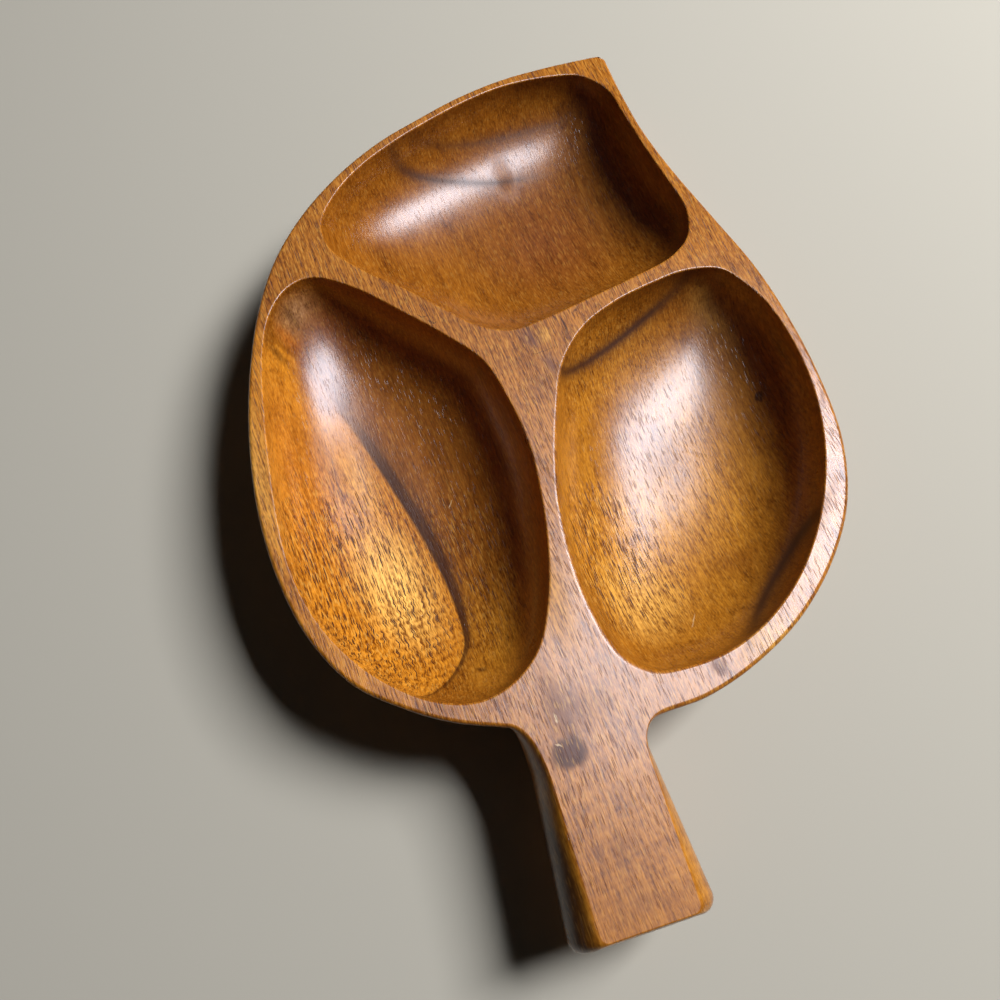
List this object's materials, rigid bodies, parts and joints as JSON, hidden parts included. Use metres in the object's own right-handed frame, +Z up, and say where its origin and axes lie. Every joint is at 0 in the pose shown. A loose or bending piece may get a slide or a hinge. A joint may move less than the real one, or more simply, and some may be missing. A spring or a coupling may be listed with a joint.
{
  "type": "divided serving bowl",
  "caption": "Leaf-shaped wooden serving bowl with scooped wells between a Y-shaped web and the leaf's stem as a handle.",
  "frame": {"origin": "on the table under the middle of the bowl's outline, seen from above", "axes": "+Z up, -Y along the stem away from the leaf, +Y towards the tip of the leaf, +X to the right with the stem towards the viewer"},
  "size_m": [0.238, 0.3656, 0.042],
  "materials": {
    "carved_wood": "satin lacquer over red-brown figured wood"
  },
  "bodies": {
    "root": {"carved_bowl": "carved_wood"}
  },
  "joints": []
}
